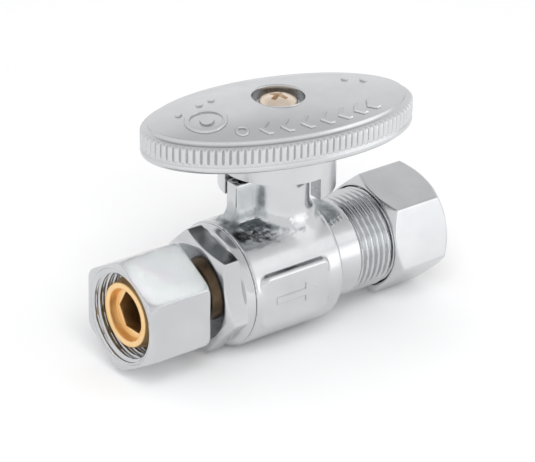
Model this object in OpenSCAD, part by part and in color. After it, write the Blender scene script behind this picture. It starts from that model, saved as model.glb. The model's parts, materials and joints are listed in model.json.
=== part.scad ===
// Quarter-turn straight stop valve: swivel inlet, compression outlet, oval handle.
// The pipe line is X, the stem is Z. The origin is on the pipe line at the floor of the tube socket,
// where the end of the outlet tube stops.

/* [Outlet thread and tube socket] */
// Outside diameter of the compression thread
thread_d = 20.64; // [20.5:0.01:20.8]
// Thread pitch, 18 turns to the inch
thread_pitch = 1.411; // [1.35:0.001:1.5]
// Bore of the socket that takes the outlet tube
socket_d = 16.06; // [16:0.01:16.1]
// Depth of the tube socket
socket_depth = 13.2; // [12.5:0.1:13.5]
// Bore of the water way
port_d = 9.5; // [8:0.1:10]

/* [Body barrel] */
// Diameter of the barrel
barrel_d = 25.8; // [25.4:0.1:26.2]
// Length of the barrel on the inlet side of the stem
barrel_in = 14.55; // [14.4:0.05:14.8]
// Length of the barrel on the outlet side of the stem
barrel_out = 7.6; // [7.2:0.1:8]
// Diameter of the plain neck between barrel and thread
neck_d = 20.4; // [20.2:0.1:20.6]
// Length of the plain neck
neck_l = 6.6; // [6:0.1:7]
// Width of the flat pad on the barrel's side
pad_h = 11.4; // [10:0.1:12]
// Length of the flat pad
pad_l = 17; // [15:0.1:17.5]

/* [Boss] */
// Diameter of the boss that carries the stem
boss_d = 13.25; // [12.8:0.05:13.6]
// Height of the boss above the pipe line
boss_top = 22.6; // [22:0.1:22.8]
// Thickness of the lug that stops the handle
lug_t = 3.45; // [3:0.05:3.6]
// Reach of the lug from the stem
lug_reach = 11.4; // [11:0.1:11.6]
// Height of the lug above the pipe line
lug_top = 21.3; // [20.5:0.1:21.6]

/* [Inlet end] */
// Width across flats of the end adapter
adapter_af = 22.2; // [21.5:0.1:22.8]
// Length of the adapter outside the barrel
adapter_l = 6.4; // [6:0.1:6.8]
// Width across flats of the swivel nut
swivel_af = 21; // [20.6:0.1:21.4]
// Length of the swivel nut
swivel_l = 14.45; // [14:0.05:14.8]
// Gap between the swivel nut and the adapter
swivel_gap = 3.3; // [2.8:0.1:3.6]
// Minor diameter of the swivel nut's thread
swivel_minor_d = 17.5; // [17.4:0.01:17.6]
// Major diameter of the swivel nut's thread
swivel_major_d = 19.05; // [19:0.01:19.1]
// Pitch of the swivel nut's thread, 16 turns to the inch
swivel_pitch = 1.5875; // [1.5:0.0005:1.65]
// Width across flats of the key socket in the tailpiece
key_af = 7.4; // [7.2:0.1:7.8]

/* [Compression nut] */
// Width across flats of the compression nut
comp_af = 22.225; // [22:0.005:22.4]
// Length of the compression nut
comp_l = 14; // [13.6:0.1:14.4]
// Distance from the stem to the compression nut's near face
comp_x = 22.4; // [22:0.1:22.8]

/* [Ball and stem] */
// Diameter of the ball
ball_d = 15.8; // [15.6:0.1:15.9]
// Diameter of the stem's shaft
stem_d = 6.3; // [6.2:0.02:6.34]
// Diameter of the bore that the stem turns in
stem_bore_d = 6.4; // [6.38:0.01:6.42]

/* [Handle] */
// Length of the oval handle
handle_l = 57.8; // [56:0.2:60]
// Width of the oval handle
handle_w = 31.8; // [31:0.2:33]
// Height of the rim's lower edge above the pipe line
rim_low = 28.35; // [28:0.05:28.6]
// Height of the rim's upper edge above the pipe line
rim_high = 34.8; // [34.4:0.1:35]
// Height of the crown at the middle of the handle
crown = 37.2; // [37:0.1:37.4]
// Turn of the oval from the pipe line when the valve is open
handle_turn = -12.5; // [-16:0.5:0]
// Outside diameter of the stop skirt under the handle
skirt_d = 23.6; // [23.4:0.1:23.8]
// Inside diameter of the stop skirt
skirt_id = 18.1; // [17.8:0.1:18.2]
// Height of the skirt's lower edge above the pipe line
skirt_low = 22.95; // [22.8:0.05:23.2]
// Height of the stop tabs' lower ends above the pipe line
tab_low = 18.2; // [17.8:0.1:18.6]
// Diameter of the counterbore for the screw's head
counterbore_d = 10.5; // [10:0.1:11]

/* [Handle screw] */
// Diameter of the screw's pan head
head_d = 7.7; // [7.2:0.1:8]
// Height of the screw's pan head
head_h = 2.6; // [2.3:0.1:2.8]
// Diameter of the screw's shank
screw_d = 4.1; // [3.9:0.1:4.2]

/* [Hidden] */
$fn = 96;

eps = 0.01;
// Gap of a running or sliding fit between two pieces
fit = 0.05;
// Gap between the crests of a thread and the nut that runs over it
thread_gap = 0.1;
chrome = "gainsboro";
raw_brass = "goldenrod";

// Stations along the pipe line, measured from the stem
neck_end = barrel_out + neck_l;
socket_floor = 16.6;
body_end = socket_floor + socket_depth;
adapter_front = -barrel_in - adapter_l;
swivel_back = adapter_front - swivel_gap;
swivel_front = swivel_back - swivel_l;
comp_end = comp_x + comp_l;

// Inlet end: threaded bore of the adapter, and the outside radii of its shank and of the tailpiece's
tail_bore_d = 12.8;
adapter_bore_d = 20.6;
adapter_shank_r = adapter_bore_d / 2 - thread_gap;
adapter_seal_r = adapter_shank_r - 1.2;
tail_shank_r = tail_bore_d / 2 - thread_gap;
tail_seal_r = tail_shank_r - 0.95;
// Thickness of the swivel nut's lip, and of the tailpiece's flange that it pulls on
lip_t = 4.55;
flange_t = 2.2;

// Ball chamber
chamber_d = 17;
chamber_x = 8.2;
seat_t = 2.6;
collar_d = 8.4;
collar_low = 8.4;
collar_t = 1.5;
washer_t = 0.55;
spot_face = collar_low + collar_t + 2 * fit + washer_t;

// Stem
drive_af = 4.6;
drive_low = boss_top;
stem_top = 32.4;
tang_t = 2.7;
tang_w = 6.8;
tang_low = 5.9;
slot_t = tang_t + 0.2;
slot_floor = 5.75;
ring_thick = 0.9;
ring_floor_r = 2.2;
groove_w = 1.3;
groove_heights = [13, 16.5];

// Handle
wall = 2.2;
plate_low = 32.8;
hub_d = 11.2;
hub_low = 23.3;
counterbore_floor = 34.6;
tab_trail = 22;
join = 0.5;
lug_half = lug_t / 2;

// A bar along the pipe line, from station x0 to station x1
module bar(x0, x1, d) {
    translate([x0, 0, 0]) rotate([0, 90, 0]) cylinder(h = x1 - x0, d = d);
}

// A hexagonal bar along the pipe line; turn is its first corner's angle from +Z towards -Y
module hex_bar(x0, x1, af, turn) {
    translate([x0, 0, 0]) rotate([turn, 0, 0]) rotate([0, 90, 0])
        cylinder(h = x1 - x0, d = af / cos(30), $fn = 6);
}

// A turned shape about the pipe line, from a profile of [station, radius] points
module turned(profile) {
    rotate([0, 90, 0]) rotate_extrude() polygon([for (p = profile) [p[1], p[0]]]);
}

// A hexagonal nut blank: corners cut by a cone at each end down to the radius face_r
module hex_blank(x0, x1, af, turn, face_r, cut0, cut1) {
    corner_r = af / 2 / cos(30) + eps;
    intersection() {
        hex_bar(x0, x1, af, turn);
        turned([[x0, 0], [x0, face_r], [x0 + cut0, corner_r], [x1 - cut1, corner_r],
            [x1, face_r], [x1, 0]]);
    }
}

// Points of a row of thread grooves from x0 on, from the crest radius down to the root radius
function groove_points(x0, turns, pitch, crest_r, root_r) = [
    for (i = [0 : turns - 1], k = [0 : 3])
        [x0 + pitch * (i + [0, 0.38, 0.5, 0.88][k]), [crest_r, root_r, root_r, crest_r][k]]
];

// An O-ring about the pipe line (turned) or about the stem (flat), by centre radius and thickness
module o_ring(centre_r, thick) {
    rotate_extrude() translate([centre_r, 0]) circle(d = thick, $fn = 32);
}

// Everything is drawn from the stem and moved so that the socket's floor is the origin
module place() {
    translate([-socket_floor, 0, 0]) children();
}

module body_outside() {
    thread_r = thread_d / 2;
    barrel_r = barrel_d / 2;
    turns = floor((body_end - neck_end - 1) / thread_pitch);
    round_r = 1.1;
    seam_edge = 0.35;
    groove_depth = 0.85;
    turned(concat(
        [[-barrel_in, 0], [-barrel_in, barrel_r - seam_edge], [-barrel_in + seam_edge, barrel_r]],
        [for (a = [0 : 15 : 90])
            [barrel_out - round_r + round_r * sin(a), barrel_r - round_r + round_r * cos(a)]],
        [[barrel_out, neck_d / 2], [neck_end, neck_d / 2], [neck_end, thread_r]],
        groove_points(neck_end + 0.4, turns, thread_pitch, thread_r, thread_r - groove_depth),
        [[body_end - 0.5, thread_r - 0.3], [body_end, thread_r - 0.7], [body_end, 0]]));
    // Boss with a flared foot, and the stop lug on its inlet side
    foot_low = 9.5;
    foot_h = 3.6;
    foot_flare = 5;
    cylinder(h = boss_top, d = boss_d);
    translate([0, 0, foot_low]) cylinder(h = foot_h, d1 = boss_d + foot_flare, d2 = boss_d);
    translate([-lug_reach, -lug_half, 0]) cube([lug_reach, lug_t, lug_top]);
    // Flat pad on the side that faces -Y
    pad_x = -13.2;
    pad_corner = 1.8;
    pad_proud = 0.1;
    pad_root = 6;
    translate([pad_x, -barrel_r - pad_proud, -pad_h / 2]) rotate([-90, 0, 0])
        linear_extrude(height = pad_root)
            translate([0, -pad_h]) round_plate(pad_l, pad_h, pad_corner);
}

// A flat plate outline with round corners
module round_plate(l, h, r) {
    translate([r, 0]) square([l - 2 * r, h]);
    translate([0, r]) square([l, h - 2 * r]);
    for (x = [r, l - r], y = [r, h - r]) translate([x, y]) circle(r = r);
}

module valve_body() {
    mouth_r = 9.3;
    mouth_depth = 1.8;
    color(chrome) place() difference() {
        body_outside();
        // Threaded seat of the end adapter, ball chamber, water way, tube socket and its countersink
        bar(-barrel_in - 1, -chamber_x - fit, adapter_bore_d);
        bar(-chamber_x - 1, chamber_x, chamber_d);
        bar(chamber_x - 1, socket_floor + 1, port_d);
        bar(socket_floor, body_end + 1, socket_d);
        turned([[body_end - mouth_depth, 0], [body_end - mouth_depth, socket_d / 2], [body_end, mouth_r],
            [body_end + 1, mouth_r], [body_end + 1, 0]]);
        // Stem bore, and the spot face inside that keeps the stem's collar
        cylinder(h = boss_top + 1, d = stem_bore_d);
        cylinder(h = spot_face, d = collar_d + 0.3);
    }
}

module end_adapter() {
    collar_w = 1.75;
    collar_x = -barrel_in - collar_w;
    face_r = 10.3;
    seal_w = 2.3;
    shank_end = -chamber_x - 2 * fit;
    color(chrome) place() difference() {
        union() {
            hex_blank(adapter_front, collar_x + eps, adapter_af, 44, face_r, 1.2, 0.2);
            // Round collar against the barrel
            turned([[collar_x, 0], [collar_x, 11.7], [collar_x + 0.5, 12.2], [-barrel_in, 12.6],
                [-barrel_in, 0]]);
            // Shank inside the barrel, with the O-ring's groove and the thread
            turned(concat([[-barrel_in - eps, 0], [-barrel_in - eps, adapter_seal_r],
                [-barrel_in + seal_w, adapter_seal_r], [-barrel_in + seal_w, adapter_shank_r]],
                groove_points(-barrel_in + seal_w + 0.2, 2, 1.3, adapter_shank_r, adapter_shank_r - 0.6),
                [[shank_end, adapter_shank_r], [shank_end, 0]]));
        }
        // Threaded bore for the tailpiece, then the water way
        bar(adapter_front - 1, -barrel_in + 0.9, tail_bore_d);
        bar(-barrel_in, -chamber_x + 1, port_d);
    }
}

module adapter_o_ring() {
    thick = 1.1;
    color("black") place() translate([-barrel_in + 1.2, 0, 0]) rotate([0, 90, 0])
        o_ring(adapter_seal_r + thick / 2 + 0.02, thick);
}

module tailpiece() {
    rim_front = swivel_front + 1.2;
    rim_r = 6.7;
    cone_r = 8.2;
    mouth_r = 5.4;
    mouth_floor_r = 5.1;
    mouth_depth = 1.9;
    key_depth = 12;
    flange_r = swivel_minor_d / 2 - 0.15;
    flange_back = swivel_back - lip_t - 0.2;
    seal_x = adapter_front + 1;
    seal_w = 1.4;
    tail_end = -barrel_in + 0.6;
    color(raw_brass) place() difference() {
        turned(concat([[rim_front, 0], [rim_front, rim_r - 0.4], [rim_front + 0.4, rim_r],
            [flange_back - flange_t, cone_r], [flange_back - flange_t, flange_r], [flange_back, flange_r],
            [flange_back, tail_shank_r], [seal_x, tail_shank_r], [seal_x, tail_seal_r],
            [seal_x + seal_w, tail_seal_r], [seal_x + seal_w, tail_shank_r]],
            groove_points(seal_x + seal_w + 0.2, 3, 1.2, tail_shank_r, tail_shank_r - 0.5),
            [[tail_end, tail_shank_r], [tail_end, 0]]));
        // Tapered round mouth, key socket and water way
        turned([[rim_front - 1, 0], [rim_front - 1, mouth_r], [rim_front, mouth_r],
            [rim_front + mouth_depth, mouth_floor_r], [rim_front + mouth_depth, 0]]);
        hex_bar(rim_front, rim_front + key_depth, key_af, 30);
        bar(rim_front, 0, key_af);
    }
}

module tailpiece_o_ring() {
    thick = 0.85;
    color("black") place() translate([adapter_front + 1.7, 0, 0]) rotate([0, 90, 0])
        o_ring(tail_seal_r + thick / 2 + 0.02, thick);
}

module swivel_nut() {
    thread_end = swivel_back - lip_t - 1.6;
    minor_r = swivel_minor_d / 2;
    major_r = swivel_major_d / 2;
    entry = 0.95;
    mouth_r = 9.9;
    face_r = 11.6;
    turns = floor((thread_end - swivel_front - entry) / swivel_pitch);
    color(chrome) place() difference() {
        hex_blank(swivel_front, swivel_back, swivel_af, 0, face_r, 1.9, 1);
        // Countersunk mouth, thread, relief behind it, and the lip's bore
        turned(concat([[swivel_front - 1, 0], [swivel_front - 1, mouth_r], [swivel_front, mouth_r],
            [swivel_front + entry, minor_r]],
            groove_points(swivel_front + entry, turns, swivel_pitch, minor_r, major_r - 0.05),
            [[thread_end, minor_r], [thread_end, major_r], [swivel_back - lip_t, major_r],
            [swivel_back - lip_t, 0]]));
        bar(swivel_back - lip_t - 1, swivel_back + 1, tail_bore_d);
    }
}

module compression_nut() {
    bore_r = thread_d / 2 + thread_gap;
    cone_x = comp_end - 4.9;
    cone_r = 9;
    wall_x = comp_end - 2.25;
    face_r = 10.7;
    hole_r = socket_d / 2 + 0.17;
    hole_edge = 0.55;
    color(chrome) place() difference() {
        hex_blank(comp_x, comp_end, comp_af, 47, face_r, 1.5, 1.6);
        // Mouth, threaded bore, cone that presses the ferrule, and the tube's hole
        turned([[comp_x - 1, 0], [comp_x - 1, bore_r + 0.35], [comp_x, bore_r + 0.35],
            [comp_x + 0.35, bore_r], [cone_x, bore_r], [wall_x, cone_r], [wall_x, 0]]);
        bar(wall_x - 1, comp_end + 1, 2 * hole_r);
        turned([[comp_end - hole_edge, 0], [comp_end - hole_edge, hole_r],
            [comp_end, hole_r + hole_edge], [comp_end + 1, hole_r + hole_edge], [comp_end + 1, 0]]);
    }
}

module ferrule() {
    front = body_end + 0.6;
    back = comp_end - 2.3;
    hole_r = socket_d / 2 + 0.02;
    ridge_r = 9.35;
    color(raw_brass) place() difference() {
        turned([[front, 0], [front, ridge_r - 0.8], [front + 1.6, ridge_r], [front + 2.2, ridge_r],
            [back, ridge_r - 0.55], [back, 0]]);
        bar(front - 1, back + 1, 2 * hole_r);
    }
}

module ball() {
    color("silver") place() difference() {
        sphere(d = ball_d);
        bar(-ball_d, ball_d, port_d);
        // Slot for the stem's tang
        translate([-slot_t / 2, -ball_d / 2, slot_floor]) cube([slot_t, ball_d, ball_d]);
    }
}

// A seat ring between the ball and the end of the chamber, on the outlet side
module seat() {
    color("white") difference() {
        bar(chamber_x - seat_t, chamber_x - 0.02, chamber_d - 0.1);
        bar(0, chamber_x + 1, port_d + 0.3);
        sphere(d = ball_d + 0.06);
    }
}

module outlet_seat() {
    place() seat();
}

module inlet_seat() {
    place() mirror([1, 0, 0]) seat();
}

module stem() {
    shaft_r = stem_d / 2;
    collar_high = collar_low + collar_t;
    tapped_low = 24;
    color("khaki") place() difference() {
        union() {
            // Shaft and collar, with a groove for each O-ring
            rotate_extrude() polygon(concat(
                [[0, collar_low], [collar_d / 2, collar_low], [collar_d / 2, collar_high],
                    [shaft_r, collar_high]],
                [for (z = groove_heights, k = [0 : 3])
                    [[shaft_r, ring_floor_r, ring_floor_r, shaft_r][k],
                        z + groove_w * [-0.5, -0.5, 0.5, 0.5][k]]],
                [[shaft_r, drive_low], [0, drive_low]]));
            // Tang that turns the ball
            translate([-tang_t / 2, -tang_w / 2, tang_low])
                cube([tang_t, tang_w, collar_low - tang_low + eps]);
            // Drive with two flats for the handle
            rotate([0, 0, handle_turn]) intersection() {
                translate([0, 0, drive_low - eps])
                    cylinder(h = stem_top - drive_low + eps, r = shaft_r);
                translate([-stem_d, -drive_af / 2, 0]) cube([2 * stem_d, drive_af, stem_top + 1]);
            }
        }
        translate([0, 0, tapped_low]) cylinder(h = stem_top, d = screw_d);
    }
}

module stem_thrust_washer() {
    color("white") place() translate([0, 0, collar_low + collar_t + fit]) difference() {
        cylinder(h = washer_t, d = collar_d);
        translate([0, 0, -1]) cylinder(h = 3, d = stem_d + 0.06);
    }
}

module stem_o_ring(index) {
    color("black") place() translate([0, 0, groove_heights[index]])
        o_ring(ring_floor_r + ring_thick / 2 + 0.02, ring_thick);
}

module lower_stem_o_ring() {
    stem_o_ring(0);
}

module upper_stem_o_ring() {
    stem_o_ring(1);
}

// An oval prism between two heights, its half axes smaller than the handle's by inset
module oval(z0, z1, inset) {
    translate([0, 0, z0]) linear_extrude(height = z1 - z0)
        scale([handle_l / 2 - inset, handle_w / 2 - inset]) circle(r = 1);
}

// The handle's oval shell: rim, bevelled upper edge and crowned top
module handle_shell() {
    edge_inset = 1.9;
    band_high = rim_high - 0.9;
    foot = 0.6;
    oval(rim_low, rim_low + foot, foot);
    oval(rim_low + foot, band_high, 0);
    oval(band_high - eps, rim_high, edge_inset / 2);
    // Crown: a squashed ball cut by the oval of the upper edge
    ball_h = 4.94;
    spread = 1.13;
    intersection() {
        oval(rim_high - eps, crown + 1, edge_inset);
        translate([0, 0, crown - ball_h])
            scale([handle_l / 2 * spread, handle_w / 2 * spread, ball_h]) sphere(r = 1);
    }
}

// The skirt under the handle, cut away between its two stop tabs. The tabs' leading faces lie along the
// lug's sides when the valve is open and when it is closed.
module skirt() {
    reach = skirt_d;
    lead = lug_half + fit;
    window_h = skirt_low - tab_low + eps;
    difference() {
        translate([0, 0, tab_low]) cylinder(h = plate_low - tab_low + join, d = skirt_d);
        translate([0, 0, tab_low - 1]) cylinder(h = plate_low - tab_low + 1, d = skirt_id);
        // Where the lug travels
        translate([lead - reach, lead - reach, tab_low - eps]) cube([reach, reach, window_h]);
        // Where the tabs' trailing ends stop
        translate([0, 0, tab_low - eps]) linear_extrude(height = window_h)
            polygon([[0, 0], reach * [cos(tab_trail), -sin(tab_trail)], 2 * [reach, reach],
                reach * [-sin(tab_trail), cos(tab_trail)]]);
    }
}

module handle() {
    socket_top = stem_top + 0.2;
    screw_hole_d = screw_d + 0.4;
    color(chrome) place() difference() {
        union() {
            rotate([0, 0, handle_turn]) difference() {
                handle_shell();
                oval(rim_low - 1, plate_low, wall);
            }
            skirt();
            translate([0, 0, hub_low]) cylinder(h = plate_low - hub_low + join, d = hub_d);
        }
        // Drive socket, screw hole and counterbore
        rotate([0, 0, handle_turn]) intersection() {
            translate([0, 0, hub_low - 1])
                cylinder(h = socket_top - hub_low + 1, d = stem_d + 2 * fit);
            translate([-stem_d, -drive_af / 2 - fit, 0])
                cube([2 * stem_d, drive_af + 2 * fit, socket_top]);
        }
        translate([0, 0, hub_low]) cylinder(h = crown, d = screw_hole_d);
        translate([0, 0, counterbore_floor]) cylinder(h = crown, d = counterbore_d);
    }
}

module handle_screw() {
    cross_w = 1.1;
    cross_l = 4.4;
    cross_depth = 1.5;
    dome_r = 7;
    shank_low = 26;
    head_low = counterbore_floor + fit;
    head_top = head_low + head_h;
    color("lightgray") place() difference() {
        union() {
            translate([0, 0, shank_low]) cylinder(h = head_low - shank_low + eps, d = screw_d);
            intersection() {
                translate([0, 0, head_low]) cylinder(h = head_h, d = head_d);
                translate([0, 0, head_top - dome_r]) sphere(r = dome_r);
            }
        }
        for (a = [20, 110]) translate([0, 0, head_top - cross_depth]) rotate([0, 0, a])
            translate([-cross_l / 2, -cross_w / 2, 0]) cube([cross_l, cross_w, cross_depth + 1]);
    }
}

valve_body();
end_adapter();
adapter_o_ring();
tailpiece();
tailpiece_o_ring();
swivel_nut();
compression_nut();
ferrule();
ball();
inlet_seat();
outlet_seat();
stem();
stem_thrust_washer();
lower_stem_o_ring();
upper_stem_o_ring();
handle();
handle_screw();
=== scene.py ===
import json
import math

import bpy
import numpy as np
from mathutils import Matrix, Vector


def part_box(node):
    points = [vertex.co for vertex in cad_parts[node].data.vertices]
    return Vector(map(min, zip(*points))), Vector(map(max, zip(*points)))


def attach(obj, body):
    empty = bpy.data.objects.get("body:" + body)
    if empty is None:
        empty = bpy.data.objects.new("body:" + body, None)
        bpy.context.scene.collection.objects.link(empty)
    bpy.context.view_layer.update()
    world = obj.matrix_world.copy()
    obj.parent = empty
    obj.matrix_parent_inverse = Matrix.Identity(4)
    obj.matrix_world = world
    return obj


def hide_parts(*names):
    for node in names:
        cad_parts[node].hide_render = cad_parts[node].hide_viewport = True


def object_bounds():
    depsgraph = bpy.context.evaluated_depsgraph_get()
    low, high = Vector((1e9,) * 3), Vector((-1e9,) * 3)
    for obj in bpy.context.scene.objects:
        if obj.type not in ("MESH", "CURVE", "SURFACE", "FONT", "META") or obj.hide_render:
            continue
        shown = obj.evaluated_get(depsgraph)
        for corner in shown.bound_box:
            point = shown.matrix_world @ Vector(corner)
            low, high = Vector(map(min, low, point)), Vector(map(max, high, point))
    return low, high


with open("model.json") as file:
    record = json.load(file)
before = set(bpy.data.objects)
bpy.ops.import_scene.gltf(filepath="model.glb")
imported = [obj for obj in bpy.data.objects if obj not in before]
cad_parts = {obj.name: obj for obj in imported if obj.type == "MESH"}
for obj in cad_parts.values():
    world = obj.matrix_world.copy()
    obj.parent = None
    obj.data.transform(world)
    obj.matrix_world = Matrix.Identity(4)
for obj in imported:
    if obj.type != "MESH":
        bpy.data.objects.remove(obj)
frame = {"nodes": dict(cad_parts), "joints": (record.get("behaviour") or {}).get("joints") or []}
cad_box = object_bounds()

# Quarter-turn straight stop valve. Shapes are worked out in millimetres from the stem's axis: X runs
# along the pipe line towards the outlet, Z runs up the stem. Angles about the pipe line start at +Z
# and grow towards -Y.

MM = 0.001
JOINTS = {joint["name"]: joint for joint in frame["joints"]}
STEM = np.array([JOINTS["handle_turn"]["pos_m"][0] / MM, 0.0, 0.0])

# Angles, in degrees, above which an edge is shaded sharp: as a rule, on castings, on the forging
SHARP, CAST_SHARP, FORGED_SHARP = 38, 42, 50

# Sizes that more than one piece shares
OUTLET_PITCH = 1.411        # 18 turns per inch
TAIL_BORE_R = 6.4           # the adapter's and the swivel nut's bore round the tailpiece
PORT_R = 4.75               # the water way
SEAM_X = -14.55             # where the end adapter meets the barrel
LUG_HALF_W = 1.725          # the stop lug, which the handle's tabs meet


def extent(node):
    """Lowest and highest corner of a CAD node, in mm from the stem."""
    low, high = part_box(node)
    return np.array(low) / MM - STEM, np.array(high) / MM - STEM


# ---------------------------------------------------------------- mesh tools

def new_object(name, points, faces, sharp_angle=SHARP):
    mesh = bpy.data.meshes.new(name)
    mesh.from_pydata(((np.asarray(points, float) + STEM) * MM).tolist(), [], faces)
    mesh.validate()
    obj = bpy.data.objects.new(name, mesh)
    bpy.context.scene.collection.objects.link(obj)
    shade(obj, sharp_angle)
    return obj


def shade(obj, sharp_angle=SHARP):
    mesh = obj.data
    mesh.polygons.foreach_set("use_smooth", [True] * len(mesh.polygons))
    mesh.set_sharp_from_angle(angle=math.radians(sharp_angle))
    mesh.update()


def fan_volume(p):
    """Six times the signed volume between the origin and a face, which tells which way it faces."""
    return (np.cross(p[1:-1] - p[0], p[2:] - p[0]) * p[0]).sum()


def loft(name, rings, closed=True, sharp_angle=SHARP):
    """A surface through rings of equal point counts. closed joins the last ring to the first;
    otherwise the two end rings are capped, which gives a solid plug."""
    rings = np.asarray(rings, float)
    m, n = rings.shape[:2]
    points = rings.reshape(-1, 3)
    rows = np.arange(m if closed else m - 1)
    i, j = np.meshgrid(rows, np.arange(n), indexing="ij")
    i2, j2 = (i + 1) % m, (j + 1) % n
    quads = np.stack([i * n + j, i * n + j2, i2 * n + j2, i2 * n + j], -1).reshape(-1, 4)
    a, b, c, d = (points[quads[:, k]] for k in range(4))
    volume = (np.cross(b - a, c - a) * a).sum() + (np.cross(c - a, d - a) * a).sum()
    faces = quads.tolist()
    if not closed:
        faces += [list(range(n))[::-1], list(range((m - 1) * n, m * n))]
        volume += sum(fan_volume(points[cap]) for cap in faces[-2:])
    if volume < 0:
        faces = [face[::-1] for face in faces]
    return new_object(name, points, faces, sharp_angle)


def combine(obj, other, operation, sharp_angle=SHARP):
    """Joins or cuts obj with another closed mesh, which is used up."""
    cut = obj.modifiers.new("join", "BOOLEAN")
    cut.object = other
    cut.operation = operation
    cut.solver = "MANIFOLD"
    graph = bpy.context.evaluated_depsgraph_get()
    mesh = bpy.data.meshes.new_from_object(obj.evaluated_get(graph))
    obj.modifiers.clear()
    obj.data = mesh
    bpy.data.objects.remove(other)
    shade(obj, sharp_angle)


def gather(objects):
    """One mesh object from several closed ones that don't touch, ready for a single join or cut."""
    first = objects[0]
    points, faces = [], []
    for obj in objects:
        start = len(points)
        points += [tuple(v.co) for v in obj.data.vertices]
        faces += [[start + i for i in face.vertices] for face in obj.data.polygons]
    mesh = bpy.data.meshes.new(first.name)
    mesh.from_pydata(points, [], faces)
    first.data = mesh
    for obj in objects[1:]:
        bpy.data.objects.remove(obj)
    return first


def around(x, radius, theta):
    """A ring about the pipe line. x and radius are numbers, or arrays over theta."""
    x = np.broadcast_to(x, theta.shape)
    radius = np.broadcast_to(radius, theta.shape)
    return np.stack([x, -radius * np.sin(theta), radius * np.cos(theta)], -1)


def upright(z, radius, theta):
    """A ring about the stem."""
    z = np.broadcast_to(z, theta.shape)
    radius = np.broadcast_to(radius, theta.shape)
    return np.stack([radius * np.cos(theta), radius * np.sin(theta), z], -1)


def soft_min(a, b, k):
    h = np.clip(k - np.abs(a - b), 0, None) / k
    return np.minimum(a, b) - h * h * k / 4


def soft_max(a, b, k):
    return -soft_min(-a, -b, k)


def smooth(t):
    t = np.clip(t, 0, 1)
    return t * t * (3 - 2 * t)


def even_angles(count):
    return np.arange(count) * 2 * np.pi / count


def hex_angles(turn):
    """Angles about a hexagon, closer together near its corners; turn is its first corner."""
    half = np.array([0, 0.5, 1, 1.6, 2.4, 3.4, 4.6, 6, 8, *range(10, 31, 2)])
    sector = np.concatenate([half, 60 - half[-2:0:-1]])
    return np.radians(np.concatenate([turn + 60 * k + sector for k in range(6)]))


def hex_radius(theta, across, turn, crispness=130):
    flats = np.radians(turn + 30 + 60 * np.arange(6))
    toward = np.clip(np.cos(theta[:, None] - flats), 0, None)
    return across / 2 / (toward ** crispness).sum(1) ** (1 / crispness)


def thread_wave(x, theta, pitch, width=0.72):
    """0 on the crests and 1 in the grooves of a right-hand thread."""
    turns = x / pitch - theta / (2 * np.pi)
    ramp = 1 - np.abs(2 * (turns % 1) - 1)
    return smooth((ramp - (1 - width) / 2) / width)


def edge_steps(size, count=5):
    """(along, inset) steps round a quarter-circle edge, from the face to the side."""
    angle = np.linspace(0, np.pi / 2, count)
    return [(size * (1 - math.cos(a)), size * (1 - math.sin(a))) for a in angle]


def lathe_rings(profile, theta):
    return [around(x, r, theta) for x, r in profile]


def fillet(profile, size, steps=4):
    """Rounds every corner of an open or closed [station, radius] profile that has room for it."""
    points = [np.array(p, float) for p in profile]
    out = []
    for i, p in enumerate(points):
        before, after = points[i - 1] - p, points[(i + 1) % len(points)] - p
        la, lb = np.linalg.norm(before), np.linalg.norm(after)
        cut = min(size, 0.45 * la, 0.45 * lb)
        if cut < 0.02:
            out.append(p)
            continue
        start, end = p + before / la * cut, p + after / lb * cut
        for t in np.linspace(0, 1, steps):
            out.append((1 - t) ** 2 * start + 2 * t * (1 - t) * p + t * t * end)
    return out


# ---------------------------------------------------------------- hexagonal pieces

BLEND = 0.35                # blend between a hexagon's flats and its chamfers
EDGE = 0.3                  # rounding of a nut's edges
RING_STEP = 0.11            # ring spacing where the outside curves


def hex_outside(x0, x1, outer, zone0, zone1, theta):
    """Rings over the outside of a hexagonal piece from its face at x0 to its face at x1. outer(x) is
    the radius over theta; zone0 and zone1 are the lengths that need close rings."""
    stations = [*np.arange(x0 + EDGE + RING_STEP, x0 + zone0, RING_STEP),
                *np.linspace(x0 + zone0, x1 - zone1, 6),
                *np.arange(x1 - zone1 + RING_STEP, x1 - EDGE - 0.05, RING_STEP)]
    steps = [(x0 + along, inset) for along, inset in edge_steps(EDGE)]
    steps += [(x, 0) for x in stations]
    steps += [(x1 - along, inset) for along, inset in reversed(edge_steps(EDGE))]
    return [around(x, outer(x) - inset, theta) for x, inset in steps]


def support(first, last, share=0.06):
    """Two rings just inside the edges of a flat face, which keep its shading flat."""
    return [first + (last - first) * share, last - (last - first) * share]


def join_hex(name, outside, inside):
    """Closes the outside and inside rings of a hexagonal piece with its two flat end faces."""
    back_face, front_face = support(outside[-1], inside[0]), support(inside[-1], outside[0])
    return loft(name, outside + back_face + inside + front_face)


def chamfered_nut(front, back, across, turn, face_r, front_cut, back_cut):
    """The outside rings of a nut, its corners turned down to face_r at both faces, and their angles."""
    corner = across / math.sqrt(3)
    theta = hex_angles(turn)
    flat_r = hex_radius(theta, across, turn)

    def outer(x):
        nose = face_r + (x - front) * (corner - face_r) / front_cut
        tail = face_r + (back - x) * (corner - face_r) / back_cut
        return soft_min(soft_min(flat_r, nose, BLEND), tail, BLEND)

    return hex_outside(front, back, outer, front_cut + BLEND + 0.1, back_cut + BLEND + 0.1, theta), theta


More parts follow.
